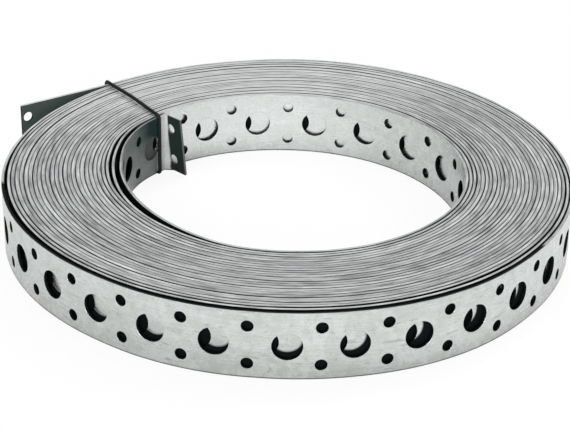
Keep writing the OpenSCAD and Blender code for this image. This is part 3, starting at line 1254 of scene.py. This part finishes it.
@dataclass(frozen=True)
class Measure:
    """Lengths along the middle line, from the tab's end.

    Attributes:
        turning: Winding angle at each of its points, from the start of the spiral on.
        length: Length to each of them.
        zero_az: Direction that the turns are counted from.
    """

    turning: np.ndarray
    length: np.ndarray
    zero_az: float

    @property
    def total(self) -> float:
        """Length of the whole strap."""
        return float(self.length[-1])

    def to(self, turn: int, az: float) -> float:
        """Length to a direction on one turn."""
        target = FULL_TURN * turn + (az if az > self.zero_az else az + FULL_TURN)
        return float(np.interp(target, self.turning, self.length))

    def turn_start(self, turn: int) -> float:
        """Length to the start of one turn."""
        return self.to(turn, self.zero_az + 1.0)


@dataclass
class StrapRoll:
    """The roll of strap: inner turns with the tab, covered turns, outer turns with the loose end.

    Its places on the strap are pairs of turn and direction in degrees. dark_behind gives, by turn and
    direction, how far the face towards the bore is painted black as covered. lit_shift gives, by direction,
    how far the painted lit part of the second layer is moved along the strap.
    """

    lay: Lay = field(default_factory=Lay)
    pattern: Perforation = field(default_factory=Perforation)
    inner_repeats: int = 48
    outer_from: tuple[int, float] = (24, 300.0)
    back_wall_large: tuple[int, float] = (0, 44.9)
    front_large: tuple[int, float] = (26, 234.6)
    second_layer_large: tuple[int, float] = (25, 230.3)
    long_step: float = 1.25
    outer_step_after: int = 2
    inner_steps: tuple[float, float] = (1.1, 1.4)
    inner_step_near: tuple[int, float] = (1, 55.0)
    inner_slack_at: tuple[float, float] = (42.0, 190.0)
    inner_shift: float = 6.9
    inner_shift_az: tuple[float, float] = (150.0, 335.0)
    outer_shift_az: tuple[float, float] = (312.0, 165.0)
    tab_large_aside: float = 0.6
    tab_large_steps: int = 22
    tab_large_rings: int = 4
    tail_seen: float = 45.0
    # Painted shade and light: the outermost turn's shaded top edge, the face towards the bore painted black
    # as covered, the painted lit part of the second layer, and the painted shade behind the loose outer end.
    shaded_rim_az: tuple[float, float] = (155.0, 292.0)
    dark_behind: tuple[tuple[int, float, float], ...] = (
        (1, 101.2, 0.0), (1, 101.6, 0.82), (1, 112.0, 0.84), (1, 117.0, 1.0), (1, 222.0, 1.0),
        (1, 226.0, 0.0), (2, 104.0, 0.0), (2, 105.0, 1.0), (2, 222.0, 1.0), (2, 226.0, 0.0),
        (3, 102.0, 0.0), (3, 103.0, 1.0))
    lit_shift: Stations = (
        (215, 0.5), (234, 0), (246, -0.8), (258, -2.2), (282, -2.4), (300, -2.4), (330, -0.5))
    holes_radius: float = 71.923
    holes_seen: tuple[int, int] = (-11, 19)
    face_depth: float = 0.3
    bore_depth: float = 0.2
    rim_height: float = 8.0
    lit_reach: float = 5.2
    tail_shade: float = 1.93
    crease: float = 32.0

    def middle_line(self) -> tuple[bpy.types.Object, Measure]:
        """Makes the strap's middle line.

        Returns:
            The curve object, and the lengths along it.
        """
        line, lean, fullness = self.lay.points()
        data = bpy.data.curves.new("middle_line", "CURVE")
        data.dimensions = "3D"
        run = data.splines.new("POLY")
        run.points.add(len(line) - 1)
        run.points.foreach_set("co", np.column_stack([line * MM, np.ones(len(line))]).ravel())
        run.points.foreach_set("tilt", lean)
        run.points.foreach_set("radius", fullness)
        length = np.concatenate([[0.0], np.cumsum(np.linalg.norm(np.diff(line, axis=0), axis=1))])
        turning = np.degrees(np.unwrap(np.arctan2(line[:, 1], line[:, 0])))
        first = self.lay.tab_points
        turning += self.lay.start_az - turning[first]
        return placed("middle_line", data), Measure(turning[first:], length[first:], self.lay.zero_az)

    def inner_run(self, line: Measure) -> tuple[Run, FlatStrap, float]:
        """Lays out the tab and the turns that show round the bore.

        Args:
            line: Lengths along the middle line.

        Returns:
            The run, the cells that it has only once, and where it ends on the middle line.
        """
        p, flat = self.pattern, FlatStrap(self.pattern, PLANS[Weight.FINE])
        tab_cell, repeat, large_half = p.tab_margin + p.pair_cell / 2, p.pitch, p.large_cell / 2
        first, second = self.inner_steps
        wall = line.to(*self.back_wall_large) - tab_cell - large_half
        repeats_to_wall = round(wall / repeat)
        slack = wall - repeats_to_wall * repeat
        notch = tab_cell + (repeats_to_wall + 1) * repeat
        end = tab_cell + p.large_cell + self.inner_repeats * repeat + first + second
        later = line.to(*self.inner_step_near) - slack - self.inner_shift - first - tab_cell
        later = tab_cell + round(later / repeat) * repeat

        flat.cap(0.0, -1)
        flat.pair(0.0, tab_cell, p.tab_margin)
        flat.large(tab_cell, tab_cell + p.large_cell, tab_cell + large_half + self.tab_large_aside,
                   self.tab_large_steps, self.tab_large_rings)
        flat.plain(notch, notch + first)
        flat.plain(later + first, later + first + second)
        flat.cap(end, 1)

        def flat_to(turn: int, az: float) -> float:
            """Place on the flat piece of a direction on one of the turns after the first."""
            return line.to(turn, az) - slack - (self.inner_shift if turn > 1 else 0.0)

        loose_from, loose_to = self.inner_shift_az
        LOG.info("strap %.0f mm long, slack %.2f mm in the bore", line.total, slack)
        run = Run(
            "strap_inner_turns", Weight.FINE, (tab_cell + repeat, self.inner_repeats),
            (tab_cell + p.large_cell, self.inner_repeats), 0.0,
            steps=(Step(notch - JUST_BEFORE, first), Step(later - JUST_BEFORE, second)),
            slacks=(Slack(*self.inner_slack_at, slack),
                    Slack(line.to(1, loose_from), line.to(1, loose_to), self.inner_shift)),
            dark=Dark(bore_to=line.to(1, loose_from),
                      behind=tuple((flat_to(turn, az), share) for turn, az, share in self.dark_behind)))
        return run, flat, end + slack + self.inner_shift

    def covered_run(self, start: float, end: float) -> tuple[Run, FlatStrap]:
        """Lays out the covered turns.

        Args:
            start: Where they start on the middle line.
            end: Where they end on it.

        Returns:
            The run, and the cells that it has only once.
        """
        flat = FlatStrap(self.pattern, PLANS[Weight.COVERED])
        repeat = self.pattern.pitch
        repeats = round((end - start) / repeat)
        stretch = (end - start) / (repeats * repeat)
        flat.cap(0.0, -1)
        flat.cap(repeats * repeat, 1)
        LOG.info("covered turns stretched x %.5f", stretch)
        return Run("strap_covered_turns", Weight.COVERED, (self.pattern.pair_cell, repeats), (0.0, repeats),
                   start, stretch), flat

    def outer_run(self, line: Measure) -> tuple[Run, FlatStrap]:
        """Lays out the turns that show from outside, with the loose end.

        Args:
            line: Lengths along the middle line.

        Returns:
            The run, and the cells that it has only once.
        """
        p, flat, step = self.pattern, FlatStrap(self.pattern, PLANS[Weight.FINE]), self.long_step
        repeat, large_half, tail_cell = p.pitch, p.large_cell / 2, p.tail_margin + p.pair_cell / 2
        anchor = line.to(*self.front_large)
        after = round((line.total - anchor - tail_cell - large_half) / repeat)
        second = line.to(*self.second_layer_large) - large_half
        fewer = round((second - line.to(*self.outer_from)) / repeat)
        start = second - fewer * repeat
        room = anchor - large_half - 2 * step - start
        before = round(room / repeat)
        slack = line.total - anchor - large_half - after * repeat - tail_cell
        early = (fewer + self.outer_step_after) * repeat
        knee = before * repeat + step
        finish = knee + step + after * repeat + p.large_cell

        flat.cap(0.0, -1)
        flat.plain(early, early + step)
        flat.plain(knee, knee + step)
        flat.pair(finish, finish + tail_cell, finish + p.pair_cell / 2)
        flat.cap(finish + tail_cell, 1)

        (outermost, front_az), under = self.front_large, self.second_layer_large[0]
        middles = (front_az + math.degrees((i * repeat - (step if i < 0 else 0.0)) / self.holes_radius)
                   for i in range(*self.holes_seen))
        above = tuple((line.to(under, az) - start, float(np.interp(az, *zip(*self.lit_shift))))
                      for az in middles)
        second_layer = line.turn_start(under) - start, line.turn_start(outermost) - start
        shift_from, shift_to = self.outer_shift_az
        rim_from, rim_to = self.shaded_rim_az
        LOG.info("slack %.2f mm near the outer end", slack)
        run = Run(
            "strap_outer_turns", Weight.FINE, (0.0, before + after + 1), (p.large_cell, before + after),
            start,
            steps=(Step(knee - step - JUST_BEFORE, step), Step(early - JUST_BEFORE, step)),
            slacks=(Slack(knee + step + p.large_cell, finish - repeat, slack),
                    Slack(line.to(under, shift_from) - start, line.to(outermost, shift_to) - start,
                          room - before * repeat)),
            dark=Dark(outside_to=second_layer[0], tail_from=line.total - start - self.tail_seen,
                      second_layer=second_layer, holes_above=above,
                      shaded_rim=(line.to(outermost, rim_from) - start, line.to(outermost, rim_to) - start)))
        return run, flat

    def build(self, tree: bpy.types.NodeTree, ids: Mapping[str, str],
              material: bpy.types.Material) -> list[bpy.types.Object]:
        """Builds the three pieces.

        Args:
            tree: The tree that lays and bends the cells.
            ids: Its inputs' identifiers.
            material: The strap's finish.

        Returns:
            The pieces.
        """
        p = self.pattern
        curve, line = self.middle_line()
        cells: dict[tuple[Weight, str], bpy.types.Object] = {}
        for weight, plan in PLANS.items():
            large, pair = FlatStrap(p, plan), FlatStrap(p, plan)
            large.large(0.0, p.large_cell, p.large_cell / 2)
            pair.pair(0.0, p.pair_cell, p.pair_cell / 2)
            for kind, cell in (("Large Cell", large), ("Pair Cell", pair)):
                cells[weight, kind] = placed(weight.value, cell.mesh(kind))
        inner, inner_flat, inner_end = self.inner_run(line)
        outer = self.outer_run(line)
        pieces = []
        for run, flat in ((inner, inner_flat), self.covered_run(inner_end, outer[0].start), outer):
            values = {"Middle Line": curve, "Repeat": p.pitch * MM, "Material": material, **run.inputs()}
            values |= {kind: cells[run.weight, kind] for kind in ("Large Cell", "Pair Cell")}
            piece = bake_nodes(run.name, flat.mesh(run.name + "_ends"), tree,
                               {ids[name]: value for name, value in values.items()})
            piece.data.polygons.foreach_set("use_smooth", [True] * len(piece.data.polygons))
            piece.data.set_sharp_from_angle(angle=math.radians(self.crease))
            self.mark_dark(piece, run.dark)
            pieces.append(piece)
        for thing in (curve, *cells.values()):
            bpy.data.objects.remove(thing)
        return pieces

    def mark_dark(self, piece: bpy.types.Object, dark: Dark) -> None:
        """Stores where shade and light are painted on the strap's faces, as one vector at each point.

        Its parts are how far the point is painted black as covered or shaded, where it lies round the bore
        for the painted dark green shade, and how far along the strap it is from the painted lit part under
        the hole above, if it is in the second layer.

        Args:
            piece: The finished piece.
            dark: Where shade and light are painted on it.
        """
        mesh = piece.data
        flat = np.zeros(3 * len(mesh.vertices), dtype=np.float32)
        mesh.attributes["flat"].data.foreach_get("vector", flat)
        x, y, z = flat[0::3], flat[1::3], flat[2::3]
        inner_face, outer_face, top = y > self.face_depth, y < -self.face_depth, z > self.rim_height

        def within(ends: tuple[float, float]) -> np.ndarray:
            """Which points lie on one stretch of the strap."""
            return (x > ends[0]) & (x < ends[1])

        # Painted shadow: the covered faces, the top of the second layer and the shaded rim of the outermost
        # turn go black.
        layer = within(dark.second_layer) & outer_face
        outside = outer_face & (x < dark.outside_to) | layer & top
        outside |= within(dark.shaded_rim) & (y > -self.face_depth) & top
        covered = np.maximum(np.interp(x, *zip(*dark.behind)) * inner_face, outside)
        # The loose outer end's inner face gets the painted dark green shade instead of black.
        tail = (x > dark.tail_from) & inner_face
        covered[tail] = 0.0
        bore = ((y > self.bore_depth) & (x < dark.bore_to)) + self.tail_shade * tail
        under = np.zeros(len(x))
        # Painted lit part of the second layer under each hole above; the rest of that layer is painted black.
        if dark.holes_above:
            at, shift = (np.array(part) for part in zip(*dark.holes_above))
            nearest = np.abs(x[:, None] - at).argmin(axis=1)
            aside = x - at[nearest]
            lit = np.clip(aside - shift[nearest], -MARK_REACH, MARK_REACH)
            under = np.where(layer, UNDER_MARK + lit, 0.0)
            covered[layer & (np.abs(aside) > self.lit_reach)] = 1.0
        made = mesh.attributes.new("shading", "FLOAT_VECTOR", "POINT")
        made.data.foreach_set("vector", np.column_stack([covered, bore, under]).astype(np.float32).ravel())

    def dress(self, pieces: Sequence[bpy.types.Object]) -> None:
        """Hangs the pieces on the frame in place of the solid strap.

        Args:
            pieces: The finished pieces.
        """
        for piece in pieces:
            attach(piece, "root")
            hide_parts("perforated_strap")


@dataclass
class WireTie:
    """The soft wire round the roll's section, its ends twisted together beside the outer leg.

    Places on it are given by distance from the inner leg towards the outer one, height, and distance to the
    side. Its fields give both legs' places in plan, the heights of its runs, and the sizes of the twist.
    """

    radius: float = 0.5
    sides: int = 14
    inner: tuple[float, float] = (-12.05, 43.0)
    outer: tuple[float, float] = (-12.3, 71.1)
    top_inner: float = 17.7
    top_outer: float = 17.95
    top_crown: float = 0.35
    low: float = 0.56
    corner_radius: float = 0.9
    outer_leg: tuple[float, ...] = (3.5, 6.5, 9.5)
    twist_length: float = 8.0
    twist_turns: float = 2.5
    twist_top: float = 11.5
    twist_side: float = 1.75
    twist_off: float = 0.25
    twist_steps: int = 50
    strand_gap: float = 0.02
    corner_steps: int = 4
    top_steps: int = 10
    leg_steps: int = 5
    low_steps: int = 8
    lead_in: tuple[tuple[float, float, float], ...] = (
        (0.25, 12.7, 2.0), (0.2, 14.1, 1.35), (0.1, 15.4, 0.5), (0.0, 16.8, 0.0))
    fold_off: float = 0.1
    fold: float = 150.0
    fold_steps: int = 6

    @property
    def strand_off(self) -> float:
        """Distance of each strand's middle from the twist's."""
        return self.radius + self.strand_gap

    def point(self, q: float, z: float, side: float = 0.0) -> Point:
        """Point of the wire's middle line.

        Args:
            q: Distance from the inner leg towards the outer one.
            z: Height.
            side: Distance to the roll's left, seen from outside the tie.

        Returns:
            The point in millimetres.
        """
        a, b = np.array(self.inner), np.array(self.outer)
        u = (b - a) / float(np.linalg.norm(b - a))
        xy = a + u * q + np.array([-u[1], u[0]]) * side
        return float(xy[0]), float(xy[1]), z

    def strand(self, span: float, start: float) -> list[Point]:
        """One strand of the twist, from the top down.

        Args:
            span: Distance between the legs.
            start: Direction it starts in round the twist's middle, in degrees.

        Returns:
            Its points.
        """
        off, n = self.strand_off, self.twist_steps
        points = []
        for i in range(n + 1):
            a = math.radians(start) + 2 * math.pi * self.twist_turns * i / n
            points.append(self.point(span + self.twist_off + off * math.sin(a),
                                     self.twist_top - self.twist_length * i / n,
                                     self.twist_side - off * math.cos(a)))
        return points

    def corner(self, q: float, z: float, start: float) -> list[Point]:
        """A quarter turn round one corner of the section.

        Args:
            q: Place of its middle, from the inner leg.
            z: Height of its middle.
            start: Direction it starts in, in degrees.

        Returns:
            Its points.
        """
        r, steps = self.corner_radius, self.corner_steps
        angles = [math.radians(start) + math.pi / 2 * i / steps for i in range(steps + 1)]
        return [self.point(q + r * math.cos(a), z + r * math.sin(a)) for a in angles]

    def route(self) -> list[Point]:
        """Gives the wire's middle line, from one end of the twist round the section to the other end.

        Returns:
            Its points.
        """
        span, r = math.dist(self.inner, self.outer), self.corner_radius
        high, low, far = self.top_inner - r, self.low + r, span - r
        way = [self.point(span + q, z, side) for q, z, side in self.lead_in]
        way += self.corner(far, self.top_outer - r, 0.0)
        for t in (i / self.top_steps for i in range(1, self.top_steps)):
            crown = self.top_crown * math.sin(math.pi * t) ** 2
            way.append(self.point(far - (far - r) * t,
                                  self.top_outer + (self.top_inner - self.top_outer) * t + crown))
        way += self.corner(r, high, 90.0)
        way += [self.point(0.0, high + (low - high) * i / self.leg_steps) for i in range(1, self.leg_steps)]
        way += self.corner(r, low, 180.0)
        way += [self.point(r + (far - r) * i / self.low_steps, self.low) for i in range(1, self.low_steps)]
        way += self.corner(far, low, 270.0)
        way += [self.point(span, z) for z in self.outer_leg]
        fold_r = (self.twist_side - self.strand_off) / 2
        for i in range(self.fold_steps + 1):
            a = math.radians(self.fold) * i / self.fold_steps
            way.append(self.point(span + self.fold_off, self.twist_top + fold_r * math.sin(a),
                                  fold_r - fold_r * math.cos(a)))
        return self.strand(span, 180.0)[::-1] + way + self.strand(span, 0.0)

    @staticmethod
    def cut_corners(line: np.ndarray) -> np.ndarray:
        """Replaces each segment by its middle half, which rounds the line, and keeps its ends."""
        near, far = 0.75 * line[:-1] + 0.25 * line[1:], 0.25 * line[:-1] + 0.75 * line[1:]
        return np.vstack([line[:1], np.stack([near, far], axis=1).reshape(-1, 3), line[-1:]])

    def build(self, tree: bpy.types.NodeTree, ids: Mapping[str, str],
              material: bpy.types.Material) -> bpy.types.Object:
        """Builds the wire.

        Args:
            tree: The tree that sweeps the wire.
            ids: Its inputs' identifiers.
            material: The wire's finish.

        Returns:
            The piece.
        """
        line = self.cut_corners(self.cut_corners(np.array(self.route())))
        LOG.info("wire %.0f mm long", np.linalg.norm(np.diff(line, axis=0), axis=1).sum())
        mesh = bpy.data.meshes.new("tie_line")
        mesh.from_pydata([tuple(p * MM) for p in line], [(i, i + 1) for i in range(len(line) - 1)], [])
        return bake_nodes("tie_wire_bent", mesh, tree, {
            ids["Radius"]: self.radius * MM, ids["Sides"]: self.sides, ids["Material"]: material})

    def dress(self, piece: bpy.types.Object) -> None:
        """Hangs the wire on the frame in place of the solid tie.

        Args:
            piece: The finished wire.
        """
        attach(piece, "root")
        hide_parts("tie_wire")


@dataclass(frozen=True)
class Lamp:
    """A square soft lamp aimed at the roll.

    Attributes:
        name: Its name.
        aside: Its direction from the camera's, in degrees.
        elevation: Its height above the floor, in degrees.
        watts: Its power.
    """

    name: str
    aside: float
    elevation: float
    watts: float


@dataclass
class Studio:
    """Pale floor, soft lamps and the camera; the camera's sizes are in degrees and millimetres."""

    aim: Point = (-6.521, -8.222, 8.5)
    azimuth: float = 234.108
    elevation: float = 27.711
    roll: float = 1.244
    distance: float = 406.745
    lens: float = 102.253
    sensor: float = 36.0
    clip: tuple[float, float] = (0.01, 20.0)
    floor_reach: float = 3.0
    floor_colour: Colour = (0.86, 0.86, 0.86, 1.0)
    floor_glow: float = 0.9
    floor_glow_in_metal: float = 0.1
    room_colour: Colour = (0.95, 1.0, 0.98, 1.0)
    room_level: float = 0.02
    lamp_distance: float = 1.2
    lamp_size: float = 0.6
    lamps: tuple[Lamp, ...] = (
        Lamp("front_lamp", 0.0, 18.0, 12.5), Lamp("left_lamp", -45.0, 45.0, 4.0),
        Lamp("back_right_lamp", 135.0, 45.0, 6.7), Lamp("back_low_lamp", -158.0, 18.0, 1.8),
        Lamp("top_lamp", 180.0, 75.0, 6.3))

    @staticmethod
    def direction(azimuth: float, elevation: float) -> Vector:
        """Unit vector towards a direction given in degrees."""
        a, e = math.radians(azimuth), math.radians(elevation)
        return Vector((math.cos(e) * math.cos(a), math.cos(e) * math.sin(a), math.sin(e)))

    @staticmethod
    def facing(toward: Vector) -> Matrix:
        """Turn of a camera or lamp that stands in a direction and looks back."""
        return (-toward).to_track_quat("-Z", "Y").to_matrix()

    def camera(self) -> None:
        """Places the camera."""
        data = bpy.data.cameras.new("camera")
        data.sensor_width, data.lens = self.sensor, self.lens
        data.clip_start, data.clip_end = self.clip
        thing = placed("camera", data)
        toward = self.direction(self.azimuth, self.elevation)
        turn = self.facing(toward) @ Matrix.Rotation(math.radians(self.roll), 3, "Z")
        place = (Vector(self.aim) + toward * self.distance) * MM
        thing.matrix_world = Matrix.Translation(place) @ turn.to_4x4()
        bpy.context.scene.camera = thing

    def hang(self, lamp: Lamp) -> None:
        """Hangs one lamp.

        Args:
            lamp: Its name, place and power.
        """
        data = bpy.data.lights.new(lamp.name, "AREA")
        data.shape, data.size, data.energy = "SQUARE", self.lamp_size, lamp.watts
        thing = placed(lamp.name, data)
        toward = self.direction(self.azimuth + lamp.aside, lamp.elevation)
        thing.matrix_world = Matrix.Translation(toward * self.lamp_distance) @ self.facing(toward).to_4x4()

    def floor(self) -> None:
        """Lays the near-white floor."""
        mesh = bpy.data.meshes.new("floor")
        s = self.floor_reach
        mesh.from_pydata([(-s, -s, 0), (s, -s, 0), (s, s, 0), (-s, s, 0)], [], [(0, 1, 2, 3)])
        thing = placed("floor", mesh)
        made = bpy.data.materials.new("floor_paper")
        g = cleared(made)
        path = g.add("ShaderNodeLightPath").outputs
        share = g.math("MAXIMUM", g.math("MULTIPLY", path["Is Camera Ray"], self.floor_glow),
                       g.math("MULTIPLY", path["Is Glossy Ray"], self.floor_glow_in_metal))
        diffuse = g.add("ShaderNodeBsdfDiffuse", {"Color": self.floor_colour})
        glow = g.add("ShaderNodeEmission", {"Color": (1.0, 1.0, 1.0, 1.0), "Strength": 1.0})
        both = g.add("ShaderNodeMixShader", {0: share, 1: diffuse, 2: glow})
        g.add("ShaderNodeOutputMaterial", {0: both})
        mesh.materials.append(made)

    def world(self) -> None:
        """Sets the light that comes from all round."""
        made = bpy.data.worlds.new("room")
        g = cleared(made)
        path = g.add("ShaderNodeLightPath").outputs
        strength = g.add("ShaderNodeMix", {0: path["Is Camera Ray"], 2: self.room_level, 3: 1.0},
                         data_type="FLOAT")
        back = g.add("ShaderNodeBackground", {"Color": self.room_colour, "Strength": strength.outputs[0]})
        g.add("ShaderNodeOutputWorld", {0: back})
        bpy.context.scene.world = made

    def build(self) -> None:
        """Sets up the camera, the floor and the light."""
        self.camera()
        self.floor()
        self.world()
        for lamp in self.lamps:
            self.hang(lamp)
        bpy.context.scene.view_settings.view_transform = "Standard"


def main() -> None:
    """Builds the roll, the tie and the studio, and reports each piece."""
    logging.basicConfig(level=logging.INFO, format="%(name)s: %(message)s")
    Studio().build()
    grain = grain_group()
    roll, tie = StrapRoll(), WireTie()
    pieces = roll.build(*strap_run_tree(), ZincFinish().material(grain))
    roll.dress(pieces)
    wire = tie.build(*wire_tree(), WireFinish().material(grain))
    tie.dress(wire)
    for piece in [*pieces, wire]:
        triangles = sum(len(face.vertices) - 2 for face in piece.data.polygons)
        LOG.info("%s: %d triangles", piece.name, triangles)


if __name__ == "__main__":
    main()
